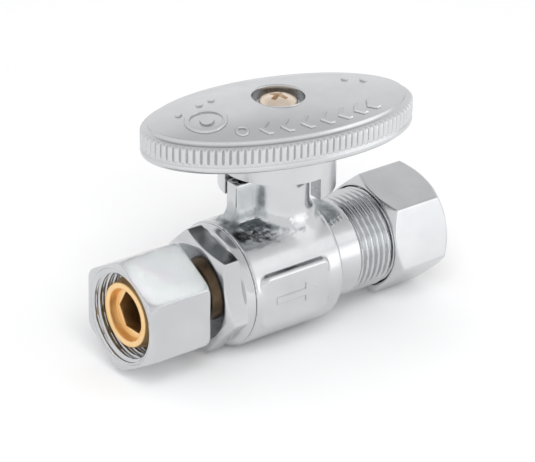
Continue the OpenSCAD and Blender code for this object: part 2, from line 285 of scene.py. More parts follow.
def build_swivel_nut():
    low, high = extent("swivel_nut")
    front, back = low[0], high[0]
    across = high[2] * math.sqrt(3)
    minor_r, groove, pitch = 8.75, 0.72, 1.5875
    mouth_r, entry, lip, neck_r = 9.9, 0.6, 4.55, TAIL_BORE_R
    rings, theta = chamfered_nut(front, back, across, turn=0, face_r=11.6, front_cut=1.9, back_cut=1.0)
    thread_back = back - lip - 1.0
    inside = []
    for along, inset in edge_steps(0.25, 4):
        inside.append(around(back - along, neck_r + inset, theta))
    inside.append(around(back - lip + 0.1, neck_r, theta))
    inside.append(around(back - lip, neck_r + 0.1, theta))
    inside.append(around(back - lip, minor_r + groove - 0.1, theta))
    inside.append(around(back - lip - 0.1, minor_r + groove, theta))
    for x in np.arange(thread_back, front + entry * 0.4, -pitch / 14):
        fade_in = smooth((thread_back + 0.3 - x) / 0.8)
        depth = thread_wave(x, theta, pitch) * fade_in + (1 - fade_in)
        countersink = mouth_r - (x - front) * (mouth_r - minor_r) / entry
        inside.append(around(x, np.maximum(minor_r + groove * depth, countersink), theta))
    for along, inset in reversed(edge_steps(0.22, 4)):
        inside.append(around(front + along, mouth_r + inset - along * 0.3, theta))
    return join_hex("swivel_nut_forged", rings, inside)


def build_compression_nut():
    low, high = extent("compression_nut")
    front, back = low[0], high[0]
    thread_r, groove = 10.42, 0.7
    hole_r, seat_r = 8.2, 8.9
    rings, theta = chamfered_nut(front, back, across=22.225, turn=47, face_r=10.95, front_cut=1.45,
                                 back_cut=1.6)
    cone_x, wall_x = back - 4.9, back - 2.25
    inside = lathe_rings(
        [(back, hole_r + 0.75), (back - 0.12, hole_r + 0.6), (back - 0.5, hole_r + 0.1),
         (back - 0.65, hole_r), (wall_x + 0.1, hole_r), (wall_x, hole_r + 0.1), (wall_x, seat_r),
         (wall_x - 0.1, seat_r + 0.15), (cone_x + 0.1, thread_r - 0.1), (cone_x, thread_r)], theta)
    for x in np.arange(cone_x - 0.15, front + 0.75, -OUTLET_PITCH / 12):
        fade = smooth((cone_x - x) / 0.8) * smooth((x - front - 0.6) / 0.9)
        inside.append(around(x, thread_r + groove * fade * thread_wave(x, theta, OUTLET_PITCH), theta))
    inside += lathe_rings([(front + 0.5, thread_r), (front + 0.1, thread_r + 0.3),
                           (front, thread_r + 0.42)], theta)
    return join_hex("compression_nut_forged", rings, inside)


def build_end_adapter():
    low, high = extent("end_adapter")
    front, back = low[0], high[0]
    across, turn = 22.2, 44
    corner = across / math.sqrt(3)
    collar_start = SEAM_X - 1.75
    collar_r, collar_swell = 11.55, 1.05
    face_r, front_cut = 10.3, 1.25
    shank_r, relief, relief_length = 10.2, 1.2, 2.3
    port_x = SEAM_X + 0.9
    theta = hex_angles(turn)
    flat_r = hex_radius(theta, across, turn)

    def outer(x):
        nose = face_r + (x - front) * (corner - face_r) / front_cut
        hexagon = soft_min(flat_r, nose, BLEND)
        hexagon = np.minimum(hexagon, corner + 0.2 - np.clip(x - collar_start + 0.1, 0, None) * 4.0)
        rise = (x - collar_start) / (SEAM_X - collar_start)
        collar = collar_r + collar_swell * np.sqrt(np.clip(rise, 0, 1)) - np.clip(-rise, 0, None) * 12
        return soft_max(hexagon, np.broadcast_to(collar, theta.shape), 0.25)

    stations = [*np.arange(front + 0.32, front + front_cut + 0.6, 0.1),
                *np.linspace(front + front_cut + 0.7, collar_start - 0.5, 4),
                *np.arange(collar_start - 0.4, SEAM_X - 0.22, 0.1)]
    rings = [around(front + along, outer(front + along) - inset, theta) for along, inset in edge_steps(0.22)]
    rings += [around(x, outer(x), theta) for x in stations]
    rings += [around(SEAM_X - along, outer(SEAM_X) - inset, theta)
              for along, inset in reversed(edge_steps(0.2, 4))]
    shank = [(SEAM_X, shank_r - relief), (SEAM_X + relief_length, shank_r - relief),
             (SEAM_X + relief_length, shank_r), (back, shank_r), (back, PORT_R), (port_x, PORT_R),
             (port_x, TAIL_BORE_R)]
    inside = lathe_rings(fillet(shank, 0.12, 3), theta)
    for along, inset in reversed(edge_steps(0.3, 4)):
        inside.append(around(front + along, TAIL_BORE_R + inset, theta))
    return join_hex("end_adapter_turned", rings, inside)


def build_tailpiece():
    low, high = extent("tailpiece")
    rim, back = low[0], high[0]
    swivel_back = extent("swivel_nut")[1][0]
    adapter_front = extent("end_adapter")[0][0]
    rim_r, cone_r, flange_r, neck_r = 6.7, 8.2, 8.6, TAIL_BORE_R - 0.1
    mouth_r, mouth_depth, key_depth, key_across = 5.3, 1.9, 12, 7.4
    rim_round = 0.45
    flange_back = swivel_back - 4.75
    flange_front = flange_back - 2.2
    turn = 30
    theta = hex_angles(turn)
    key_r = hex_radius(theta, key_across, turn, crispness=220)
    bore_r = key_across / 2 - 0.03
    groove, groove_end, groove_r = adapter_front + 1, adapter_front + 2.4, neck_r - 0.95
    outside = fillet([(rim + rim_round, rim_r), (flange_front, cone_r), (flange_front, flange_r),
                      (flange_back, flange_r), (flange_back, neck_r), (groove, neck_r),
                      (groove, groove_r), (groove_end, groove_r), (groove_end, neck_r), (back, neck_r),
                      (back, key_across / 2)], 0.28, 4)[3:]
    rings = lathe_rings([(rim + a, rim_r - i) for a, i in edge_steps(rim_round, 7)], theta)
    rings += lathe_rings(outside + [(rim + key_depth, bore_r)], theta)
    floor = rim + mouth_depth
    for x, wider in ((rim + key_depth - 0.02, 0), (floor + 0.5, 0), (floor + 0.22, 0), (floor + 0.06, 0.05),
                     (floor, 0.16)):
        rings.append(around(x, key_r + wider, theta))
    rings += lathe_rings([(floor, mouth_r - 0.45), (floor - 0.06, mouth_r - 0.26),
                          (floor - 0.25, mouth_r - 0.18), (rim + rim_round, mouth_r)], theta)
    for along, inset in reversed(edge_steps(rim_round, 6)):
        rings.append(around(rim + along, mouth_r + inset, theta))
    return loft("tailpiece_brass", rings, sharp_angle=CAST_SHARP)


# ---------------------------------------------------------------- the forged body

def rounded_box(q, radius):
    """Distance to a box, from |point| - half size in each direction, with rounded edges."""
    q = [d + radius for d in q]
    outside = np.sqrt(sum(np.maximum(d, 0) ** 2 for d in q))
    return outside + np.minimum(np.maximum.reduce(q), 0) - radius


BARREL_R, BARREL_END = 12.9, 7.6
NECK_R, NECK_END = 10.2, 14.2
PAD_X, PAD_Y = -4.7, -13.0
PAD_HALF_L, PAD_HALF_H, PAD_HALF_T = 8.5, 5.7, 3
BOSS_R, BOSS_TOP = 6.62, 22.6
LUG_HALF_L, LUG_TOP = 5.7, 21.3


def ripple(x, y, z):
    """A small repeatable unevenness, from -1 to 1, for cast skin."""
    a = np.sin(1.9 * x + 1.3 * y) * np.sin(2.3 * y - 1.1 * z + 0.7) * np.sin(1.7 * z + 0.9 * x + 2.1)
    b = np.sin(4.3 * x - 3.1 * z + 0.4) * np.sin(3.7 * y + 2.9 * x) * np.sin(4.9 * z - 1.7 * y + 1.2)
    return 0.6 * a + 0.4 * b


def body_field(x, y, z):
    """Distance to the forging's outside: barrel, neck, boss, lug and pad, blended as a forging is."""
    r = np.sqrt(y * y + z * z)
    middle, half = (SEAM_X + BARREL_END) / 2, (BARREL_END - SEAM_X) / 2
    along, out = np.abs(x - middle) - half, r - BARREL_R
    round_r = np.where(x > middle, 1.15, 0.3)
    barrel = rounded_box([along, out], round_r)
    neck = np.maximum(r - NECK_R, np.maximum(x - NECK_END, -x))
    solid = soft_min(barrel, neck, 0.5)
    pad = rounded_box([np.abs(x - PAD_X) - PAD_HALF_L, np.abs(z) - PAD_HALF_H], 1.8)
    pad = rounded_box([pad, np.abs(y - (PAD_Y + PAD_HALF_T)) - PAD_HALF_T], 0.95)
    solid = soft_min(solid, pad, 0.25)
    rs = np.sqrt(x * x + y * y)
    boss = rounded_box([rs - BOSS_R, np.abs(z - BOSS_TOP / 2) - BOSS_TOP / 2], 0.35)
    lug = rounded_box([np.abs(x + LUG_HALF_L) - LUG_HALF_L, np.abs(y) - LUG_HALF_W,
                       np.abs(z - LUG_TOP / 2) - LUG_TOP / 2], 0.4)
    tower = soft_min(boss, lug, 0.7)
    solid = soft_min(solid, tower, 3.4)
    cast_x = smooth((14 + x) / 3) * smooth((0.5 - x) / 2)
    cast_z = smooth((z - 9.5) / 2) * smooth((14.5 - z) / 2)
    return solid - 0.14 * cast_z * cast_x * ripple(x, y, z)


def surface_net(field, axes):
    """A closed mesh of the zero surface of field on a rectangular grid, moved onto the surface."""
    values = field(*np.meshgrid(*axes, indexing="ij"))
    inside = values < 0
    shape = [n - 1 for n in values.shape]
    total = np.zeros([*shape, 3])
    count = np.zeros(shape)

    def corner(array, offset):
        return array[tuple(slice(o, o + n) for o, n in zip(offset, shape))]

    for axis in range(3):
        others = [k for k in range(3) if k != axis]
        for u in (0, 1):
            for v in (0, 1):
                offset = [0, 0, 0]
                offset[others[0]], offset[others[1]] = u, v
                start = corner(values, offset)
                at = np.array(offset, float)
                offset[axis] = 1
                end = corner(values, offset)
                crossed = (start < 0) != (end < 0)
                t = np.where(crossed, start / np.where(crossed, start - end, 1), 0)
                for k in range(3):
                    total[..., k] += crossed * (at[k] + (t if k == axis else 0))
                count += crossed
    used = count > 0
    index = np.full(shape, -1)
    index[used] = np.arange(used.sum())
    cells = np.argwhere(used)
    local = total[used] / count[used][:, None]
    points = np.stack([np.interp(cells[:, k] + local[:, k], np.arange(len(axes[k])), axes[k])
                       for k in range(3)], -1)
    faces = []
    for axis in range(3):
        u, v = [k for k in range(3) if k != axis]
        lower = [slice(1, n) for n in shape]
        lower[axis] = slice(0, shape[axis])
        upper = list(lower)
        upper[axis] = slice(1, shape[axis] + 1)
        a, b = inside[tuple(lower)], inside[tuple(upper)]
        for cells, flip in ((np.argwhere(a & ~b), axis == 1), (np.argwhere(~a & b), axis != 1)):
            cells = cells + 1
            cells[:, axis] -= 1
            loop = []
            for du, dv in ((-1, -1), (0, -1), (0, 0), (-1, 0)):
                c = cells.copy()
                c[:, u] += du
                c[:, v] += dv
                loop.append(index[c[:, 0], c[:, 1], c[:, 2]])
            faces.append(np.stack(loop[::-1] if flip else loop, -1))
    h = 0.01
    for _ in range(3):
        x, y, z = points.T
        value = field(x, y, z)
        slope = np.stack([field(x + h, y, z) - field(x - h, y, z), field(x, y + h, z) - field(x, y - h, z),
                          field(x, y, z + h) - field(x, y, z - h)], -1) / (2 * h)
        square = np.maximum((slope ** 2).sum(-1), 0.2)
        points = points - slope * (value / square)[:, None] * 0.8
    return points, np.concatenate(faces).tolist()


def grid(low, high, step):
    return np.linspace(low, high, int(round((high - low) / step)) + 1)


def plug(name, profile, theta):
    """A solid of revolution about the pipe line, with flat ends, from [station, radius] points."""
    return loft(name, lathe_rings(profile, theta), closed=False)


def flow_arrow():
    """Raised plain arrow on the flat pad, pointing to the outlet."""
    shaft, head = 0.75, 2.0
    tail_x, neck_x, tip_x = -9.8, -2.6, 0.6
    half = [(tail_x, shaft), (neck_x, shaft), (neck_x, head)]
    outline = half + [(tip_x, 0)] + [(x, -z) for x, z in reversed(half)]
    return raised_shape("arrow", outline, lambda p: np.array([p[0], PAD_Y, p[1]]), (0, -1, 0), 0.36,
                        draft=0.34)


def raised_shape(name, outline, place, up, height, sink=0.5, draft=0.12):
    """A low relief solid over an outline, its sides sloped a little by draft."""
    pts = np.array(outline, float)
    n = len(pts)
    if sum(pts[i - 1][0] * pts[i][1] - pts[i][0] * pts[i - 1][1] for i in range(n)) < 0:
        pts = pts[::-1]
    inner = []
    for i in range(n):
        a = pts[i] - pts[i - 1]
        b = pts[(i + 1) % n] - pts[i]
        na = np.array([-a[1], a[0]]) / np.linalg.norm(a)
        nb = np.array([-b[1], b[0]]) / np.linalg.norm(b)
        mid = na + nb
        inner.append(pts[i] + mid / max(mid @ mid, 0.5) * draft)
    up = np.array(up)
    low = [place(p) - up * sink for p in pts]
    edge = [place(p) + up * height * 0.55 for p in pts]
    top = [place(p) + up * height for p in inner]
    points = np.array(low + edge + top)
    faces = [list(range(n))[::-1], list(range(2 * n, 3 * n))]
    for level in (0, n):
        for i in range(n):
            j = (i + 1) % n
            faces.append([level + i, level + j, level + n + j, level + n + i])
    if sum(fan_volume(points[face]) for face in faces) < 0:
        faces = [face[::-1] for face in faces]
    return new_object(name, points, faces, 30)


def build_body():
    step = 0.3
    axes = [grid(SEAM_X - 0.75, NECK_END + 0.6, step), grid(-13.8, 13.5, step), grid(-13.5, 23.3, step)]
    points, faces = surface_net(body_field, axes)
    body = new_object("valve_body_forging", points, faces, FORGED_SHARP)
    end = extent("valve_body")[1][0]
    theta = even_angles(240)
    thread_r, groove, core_r = 10.32, 0.85, 9.2
    rings = lathe_rings([(NECK_END - 2, core_r), (NECK_END - 0.3, core_r), (NECK_END - 0.25, core_r + 0.2)],
                        theta)
    for x in np.arange(NECK_END - 0.2, end - 0.75, OUTLET_PITCH / 14):
        gone = x - NECK_END + 0.1
        fade, start = smooth(gone / 0.9), 1 - smooth(gone / 0.35)
        wave = thread_wave(x, theta, OUTLET_PITCH)
        dent = 0.035 * ripple(x * 0.6 + 40, 9 * np.cos(theta), 9 * np.sin(theta))
        rings.append(around(x, thread_r - 0.5 * start - groove * fade * wave + dent * (1 - wave), theta))
    rings += lathe_rings([(end - 0.65, thread_r - 0.25), (end - 0.3, thread_r - 0.45),
                          (end - 0.06, thread_r - 0.66), (end, thread_r - 0.75)], theta)
    combine(body, loft("threaded_end", rings, closed=False), "UNION", FORGED_SHARP)
    inlet_r, chamber_r, tube_r, seat_r = 10.3, 8.5, 8.03, 9.25
    inlet_end, chamber_end = -8.25, 8.2
    socket_floor = -STEM[0]
    way = plug("water_way", [(SEAM_X - 2, inlet_r), (inlet_end, inlet_r), (inlet_end, chamber_r),
                             (chamber_end, chamber_r), (chamber_end, PORT_R), (socket_floor, PORT_R),
                             (socket_floor, tube_r), (end - 1.8, tube_r), (end - 0.02, seat_r),
                             (end + 1, seat_r)], theta)
    combine(body, way, "DIFFERENCE", FORGED_SHARP)
    collar_r, stem_r, mouth_r, collar_top = 4.35, 3.2, 3.6, 10.6
    steps = [(5, collar_r), (collar_top, collar_r), (collar_top, stem_r), (BOSS_TOP - 0.3, stem_r),
             (BOSS_TOP + 0.1, mouth_r), (BOSS_TOP + 1, mouth_r)]
    bore = loft("stem_bore", [upright(z, r, even_angles(72)) for z, r in steps], closed=False)
    combine(body, bore, "DIFFERENCE", FORGED_SHARP)
    combine(body, flow_arrow(), "UNION", CAST_SHARP)
    return body


# ---------------------------------------------------------------- handle and screw

HANDLE_TURN = math.radians(-12.5)
HALF_L, HALF_W = 28.9, 15.9
RIM_INSET = 1.9
CROWN, RIM_TOP, PLATE_LOW = 37.2, 34.8, 32.8
RIBS, RIB_DEPTH = 101, 0.5
COUNTERBORE_R, COUNTERBORE_FLOOR, LIP = 5.25, 34.6, 0.35
SCREW_HOLE_R = 2.25
MARK_HEIGHT = 0.42


def turned_by(points, angle):
    c, s = math.cos(angle), math.sin(angle)
    x, y, z = np.moveaxis(np.asarray(points, float), -1, 0)
    return np.stack([c * x - s * y, s * x + c * y, z], -1)


def crown_height(x, y):
    """Height of the handle's domed top, in the oval's own directions."""
    reach = np.sqrt((x / (HALF_L - RIM_INSET)) ** 2 + (y / (HALF_W - RIM_INSET)) ** 2)
    return CROWN - (CROWN - RIM_TOP) * reach ** 2.2


def oval_line(count):
    """Points and outward directions of the handle's oval, evenly spaced along its edge."""
    t = np.linspace(0, 2 * np.pi, 6001)
    x, y = HALF_L * np.cos(t), HALF_W * np.sin(t)
    length = np.concatenate([[0], np.cumsum(np.hypot(np.diff(x), np.diff(y)))])
    t = np.interp(np.arange(count) / count * length[-1], length, t)
    points = np.stack([HALF_L * np.cos(t), HALF_W * np.sin(t)], -1)
    out = np.stack([HALF_W * np.cos(t), HALF_L * np.sin(t)], -1)
    return points, out / np.linalg.norm(out, axis=1)[:, None]


def build_handle():
    per_rib = 8
    count = RIBS * per_rib
    points, out = oval_line(count)
    phase = np.arange(count) / per_rib * 2 * np.pi
    valley = ((1 + np.cos(phase)) / 2) ** 3.4

    def level(z, inset, ribbed):
        line = points - out * (inset + RIB_DEPTH * ribbed * valley)[:, None]
        return np.column_stack([line, np.full(count, z)])

    edge = points - out * RIM_INSET
    bearing = np.arctan2(edge[:, 1], edge[:, 0])

    def circle(z, radius):
        return np.column_stack([radius * np.cos(bearing), radius * np.sin(bearing), np.full(count, z)])

    hole = np.column_stack([np.cos(bearing), np.sin(bearing)])
    top = []
    shares = [0.0, 0.004, 0.012, 0.03, *np.linspace(0.07, 0.93, 17), 0.975, 0.99, 1.0]
    for share in shares:
        flat = hole * (COUNTERBORE_R + LIP) * (1 - share) + edge * share
        top.append(np.column_stack([flat, crown_height(flat[:, 0], flat[:, 1])]))
    lip_z = crown_height(COUNTERBORE_R, 0.0)
    rings = [circle(COUNTERBORE_FLOOR, r) for r in (SCREW_HOLE_R, 2.6, 4.7, 5.0)]
    rings += [circle(COUNTERBORE_FLOOR + dz, COUNTERBORE_R - dr) for dz, dr in ((0.08, 0.08), (0.28, 0.0))]
    rings += [circle(z, COUNTERBORE_R) for z in (lip_z - 0.8, lip_z - 0.42)]
    rings += [circle(lip_z - LIP + LIP * math.sin(a), COUNTERBORE_R + LIP - LIP * math.cos(a))
              for a in np.radians([15, 30, 45, 60, 75])]
    rings += top
    # Height, inset and share of the ribs, from the plateau's edge down a short wall, over a hollow
    # ledge, the ribs and a low bead, then inside
    shoulder = [(34.78, 1.77, 0), (34.7, 1.67, 0), (34.55, 1.61, 0), (34.3, 1.58, 0), (34.1, 1.54, 0),
                (33.99, 1.46, 0), (33.92, 1.32, 0), (33.88, 1.12, 0), (33.86, 0.9, 0), (33.83, 0.7, 0),
                (33.78, 0.52, 0.05), (33.7, 0.36, 0.3), (33.58, 0.2, 0.6), (33.44, 0.09, 0.85),
                (33.3, 0.03, 0.97), (33.1, 0, 1), (32.5, 0, 1), (31.75, 0, 1), (31.0, 0, 1),
                (30.75, 0, 0.97), (30.56, 0.02, 0.82), (30.42, 0.06, 0.5), (30.32, 0.11, 0.15),
                (30.2, 0.15, 0), (30.08, 0.15, 0), (29.98, 0.11, 0), (29.86, 0.05, 0), (29.65, 0.01, 0),
                (29.3, 0, 0), (28.95, 0.08, 0),
                (28.65, 0.26, 0), (28.45, 0.5, 0), (28.36, 0.78, 0), (28.35, 1.05, 0), (28.38, 1.7, 0),
                (28.5, 1.95, 0), (28.8, 2.12, 0), (29.4, 2.2, 0), (32.0, 2.35, 0), (32.5, 2.5, 0),
                (32.72, 2.75, 0), (32.8, 3.2, 0)]
    rings += [level(*step) for step in shoulder]
    inner_edge = points - out * shoulder[-1][1]
    for share in (0.06, *np.linspace(0.2, 0.9, 6)):
        flat = inner_edge * (1 - share) + hole * SCREW_HOLE_R * share
        rings.append(np.column_stack([flat, np.full(count, PLATE_LOW)]))
    rings += [circle(PLATE_LOW, SCREW_HOLE_R), circle(33.4, SCREW_HOLE_R)]
    rings = [turned_by(ring, HANDLE_TURN) for ring in rings]
    handle = loft("handle_casting", rings, sharp_angle=CAST_SHARP)
    for part in (build_skirt(), build_hub(), gather(handle_marks())):
        combine(handle, part, "UNION", CAST_SHARP)
    return handle


def build_skirt():
    """The round skirt with its two stop tabs, which reach down beside the lug."""
    inner, outer = 8.65, 11.8
    tab_low, skirt_low = 18.2, 22.95
    theta = even_angles(180)
    profile = fillet([(tab_low, inner), (tab_low, outer), (PLATE_LOW + 0.5, outer), (PLATE_LOW + 0.5, inner)],
                     0.3, 4)
    skirt = loft("skirt", [upright(z, r, theta) for z, r in profile])
    lead = LUG_HALF_W + 0.05
    reach = 30.0
    trail = math.radians(22)
    low_window = [(lead, -reach), (lead, lead), (-reach, lead), (-reach, -reach)]
    high_window = [(0, 0), (reach * math.cos(trail), -reach * math.sin(trail)), (reach, reach),
                   (-reach * math.sin(trail), reach * math.cos(trail))]
    for outline in (low_window, high_window):
        combine(skirt, window(outline, tab_low - 1, skirt_low), "DIFFERENCE", CAST_SHARP)
    return skirt


def window(outline, z0, z1):
    """A vertical prism whose upper edge leaves rounded inner corners where it cuts the skirt."""
    pts = np.array(outline, float)
    inward = pts.mean(0) - pts
    inward = inward / np.linalg.norm(inward, axis=1)[:, None]
    rings = [np.column_stack([pts + inward * inset, np.full(len(pts), z)])
             for z, inset in ((z0, 0.0), (z1 - 0.5, 0.0), (z1 - 0.2, 0.12), (z1, 0.45))]
    return loft("window", rings, closed=False)


def build_hub():
    """The hub under the plate, with the double-flatted hole that takes the stem."""
    theta = even_angles(96)
    outer, hole, half_flat = 5.6, 3.2, 2.35
    low, hole_top, top = 23.3, 32.6, PLATE_LOW + 0.4
    flats = np.minimum(hole, half_flat / np.maximum(np.abs(np.sin(theta - HANDLE_TURN)), 1e-3))
    steps = [(low + a, outer - i) for a, i in edge_steps(0.3, 4)]
    steps += [(top, outer), (top, SCREW_HOLE_R), (hole_top, SCREW_HOLE_R), (hole_top, flats),
              (low + 0.3, flats), (low, flats + 0.3)]
    return loft("hub", [upright(z, r, theta) for z, r in steps])


def handle_place(p):
    """A point of the handle's top, from the oval's own two directions, on the dome."""
    spot = np.array([p[0], p[1], crown_height(p[0], p[1])])
    return turned_by(spot, HANDLE_TURN)


def dot_outline(x, y, radius, count=20):
    a = even_angles(count)
    return np.stack([x + radius * np.cos(a), y + radius * np.sin(a)], -1)


def near_edge(angle, inset):
    """A point near the handle's edge, by its angle round the oval, and the way that points inward."""
    a = math.radians(angle)
    half_l, half_w = HALF_L - RIM_INSET, HALF_W - RIM_INSET
    edge = np.array([half_l * math.cos(a), half_w * math.sin(a)])
    inward = -np.array([half_w * math.cos(a), half_l * math.sin(a)])
    inward = inward / np.linalg.norm(inward)
    return edge + inward * inset, inward


def chevron_outline(base, inward, length=3.1, half=1.25, stroke=1.05):
    """A V on its side, between the handle's edge and length inward, that points along the edge."""
    along = np.array([-inward[1], inward[0]])
    corners = [(-half, 0), (stroke - half, 0), (half, 0.5), (stroke - half, 1), (-half, 1),
               (half - stroke, 0.5)]
    return [base + along * u + inward * v * length for u, v in corners]


def handle_marks():
    """Generic raised marks: a row of chevrons after a ring along the near edge, a drop in a ring towards
    the inlet end, and small dots at both ends."""
    marks = []
    up = Vector((0, 0, 1))
    for angle in np.linspace(-108, -50, 7):
        outline = chevron_outline(*near_edge(angle, 1.1))
        marks.append(raised_shape("chevron", outline, handle_place, up, MARK_HEIGHT))
    marks.append(ring_mark(near_edge(-119, 2.7)[0], 1.05, 0.4))
    centre = np.array([-17.2, -3.4])
    marks.append(ring_mark(centre, 3.75, 0.55))
    drop = [centre + np.array([1.5 * math.cos(a), 1.5 * math.sin(a) - 0.5])
            for a in np.linspace(math.radians(150), math.radians(390), 15)]
    drop.append(centre + np.array([0.0, 2.3]))
    marks.append(raised_shape("drop", drop, handle_place, up, MARK_HEIGHT))
    for x, y in ((16.4, 3.6), (20.0, 2.4), (-20.8, 1.6), (-15.6, 3.3), (-12.7, 4.1)):
        marks.append(raised_shape("dot", dot_outline(x, y, 0.75), handle_place, up, MARK_HEIGHT * 0.8))
    return marks


def ring_mark(centre, radius, half):
    theta = even_angles(48)
    rings = []
    top = MARK_HEIGHT
    for dr, dz in ((-half, -0.4), (-half, 0.6 * top), (0.14 - half, top), (half - 0.14, top),
                   (half, 0.6 * top), (half, -0.4)):
        flat = centre + (radius + dr) * np.stack([np.cos(theta), np.sin(theta)], -1)
        z = crown_height(flat[:, 0], flat[:, 1]) + dz
        rings.append(turned_by(np.column_stack([flat, z]), HANDLE_TURN))
    return loft("ring", rings)


def build_screw():
    low, high = extent("handle_screw")
    tip, head_low, head_top = low[2], COUNTERBORE_FLOOR + 0.05, high[2]
    head_r, shank_r, dome = 3.85, 2.05, 7.0
    theta = even_angles(96)
    side_top = head_top - (dome - math.sqrt(dome ** 2 - head_r ** 2))
    profile = [(tip, 0.8), (tip, 1.4), (tip + 0.6, shank_r), (head_low - 0.1, shank_r),
               (head_low, shank_r + 0.15), (head_low, head_r - 0.2), (head_low + 0.12, head_r - 0.05),
               (head_low + 0.35, head_r), (side_top - 0.3, head_r)]
    for r in (3.8, 3.68, 3.5, 3.2, 2.8, 2.2, 1.6, 1.0, 0.4):
        z = head_top - (dome - math.sqrt(dome ** 2 - r ** 2))
        if r > 3.6:
            z -= 0.12 * (r - 3.6) / 0.2
        profile.append((z, r))
    screw = loft("handle_screw_head", [upright(z, r, theta) for z, r in profile], closed=False)
    for angle in (20, 110):
        combine(screw, cross_arm(angle, head_top), "DIFFERENCE", 35)
    return screw


def cross_arm(angle, top):
    """One arm of the cross recess, tapering as it goes down."""
    rings = []
    for z, half_l, half_w in ((top - 1.7, 0.7, 0.3), (top - 0.5, 1.9, 0.5), (top + 0.3, 2.3, 0.62),
                              (top + 1.0, 2.3, 0.62)):
        box = [(u * half_l, v * half_w, z) for u, v in ((-1, -1), (1, -1), (1, 1), (-1, 1))]
        rings.append(turned_by(box, math.radians(angle)))
    return loft("cross", rings, closed=False)


# ---------------------------------------------------------------- materials

CHROME_LIGHT, CHROME_DARK = (0.62, 0.63, 0.64), (0.56, 0.572, 0.583)


def fill(node, **values):
    """Sets a node's inputs by their names, with _ for a space."""
    for key, value in values.items():
        node.inputs[key.replace("_", " ")].default_value = value


class Recipe:
    """A node material around one Principled shader."""

    def __init__(self, name):
        self.material = bpy.data.materials.new(name)
        self.material.use_nodes = True
        self.nodes = self.material.node_tree.nodes
        self.links = self.material.node_tree.links
        self.shader = self.nodes["Principled BSDF"]
        self.place = self.nodes.new("ShaderNodeTexCoord").outputs["Object"]
        self.height = None

    def set(self, **values):
        fill(self.shader, **values)
        return self

    def noise(self, scale, detail, rough=0.55):
        node = self.nodes.new("ShaderNodeTexNoise")
        fill(node, Scale=scale, Detail=detail, Roughness=rough)
        self.links.new(self.place, node.inputs["Vector"])
        return node.outputs["Fac"]

    def wave(self, kind, scale, distortion):
        """Rings about the pipe line, or bands along it."""
        node = self.nodes.new("ShaderNodeTexWave")
        node.wave_type = kind
        fill(node, Scale=scale, Distortion=distortion)
        self.links.new(self.place, node.inputs["Vector"])
        return node.outputs["Fac"]

    def attribute(self, name):
        node = self.nodes.new("ShaderNodeAttribute")
        node.attribute_name = name
        return node.outputs["Fac"]

    def spread(self, value, low, high, start=0.0, end=1.0):
        node = self.nodes.new("ShaderNodeMapRange")
        fill(node, From_Min=start, From_Max=end, To_Min=low, To_Max=high)
        self.links.new(value, node.inputs["Value"])
        return node.outputs["Result"]

    def colour(self, value, first, second, start=0.35, end=0.65):
        node = self.nodes.new("ShaderNodeMix")
        node.data_type = "RGBA"
        fill(node, A=(*first, 1), B=(*second, 1))
        self.links.new(self.spread(value, 0, 1, start, end), node.inputs["Factor"])
        return node.outputs["Result"]

    def blend(self, factor, first, second):
        node = self.nodes.new("ShaderNodeMix")
        node.data_type = "RGBA"
        self.links.new(factor, node.inputs["Factor"])
        self.links.new(first, node.inputs["A"])
        self.links.new(second, node.inputs["B"])
        return node.outputs["Result"]

    def math(self, operation, a, b):
        node = self.nodes.new("ShaderNodeMath")
        node.operation = operation
        for socket, value in zip(node.inputs, (a, b)):
            if isinstance(value, (int, float)):
                socket.default_value = value
            else:
                self.links.new(value, socket)
        return node.outputs["Value"]

    def bump(self, value, depth_mm):
        node = self.nodes.new("ShaderNodeBump")
        fill(node, Distance=depth_mm * MM)
        self.links.new(value, node.inputs["Height"])
        if self.height is not None:
            self.links.new(self.height, node.inputs["Normal"])
        self.height = node.outputs["Normal"]
        self.links.new(self.height, self.shader.inputs["Normal"])
        return self

    def drive(self, socket, output):
        self.links.new(output, self.shader.inputs[socket])
        return self


def plated(name, light, dark, rough_low, rough_high, orange_peel=0.004):
    """Polished chrome plate over a forging or casting: faint cloudiness, orange peel and fine haze."""
    recipe = Recipe(name).set(Metallic=1.0)
    recipe.drive("Base Color", recipe.colour(recipe.noise(90, 4), light, dark))
    recipe.drive("Roughness", recipe.spread(recipe.noise(260, 5, 0.65), rough_low, rough_high, 0.3, 0.7))
    recipe.bump(recipe.noise(420, 3), orange_peel)
    return recipe


def body_chrome():
    """The plate as on the other chromed pieces, and a dark, rough skin where the mesh says cast_skin."""
    recipe = Recipe("body_chrome").set(Metallic=1.0)
    cast = recipe.attribute("cast_skin")
    smooth_skin = recipe.colour(recipe.noise(90, 4), CHROME_LIGHT, CHROME_DARK)
    rough_skin = recipe.colour(recipe.noise(430, 5, 0.62), (0.11, 0.132, 0.142), (0.4, 0.435, 0.447),
                               0.36, 0.68)
    recipe.drive("Base Color", recipe.blend(cast, smooth_skin, rough_skin))
    plain = recipe.spread(recipe.noise(260, 5, 0.65), 0.13, 0.21, 0.3, 0.7)
    recipe.drive("Roughness", recipe.math("ADD", plain, recipe.math("MULTIPLY", cast, 0.22)))
    recipe.bump(recipe.math("MULTIPLY", recipe.noise(430, 5, 0.6), cast), 0.24)
    recipe.bump(recipe.noise(420, 3), 0.004)
    return recipe


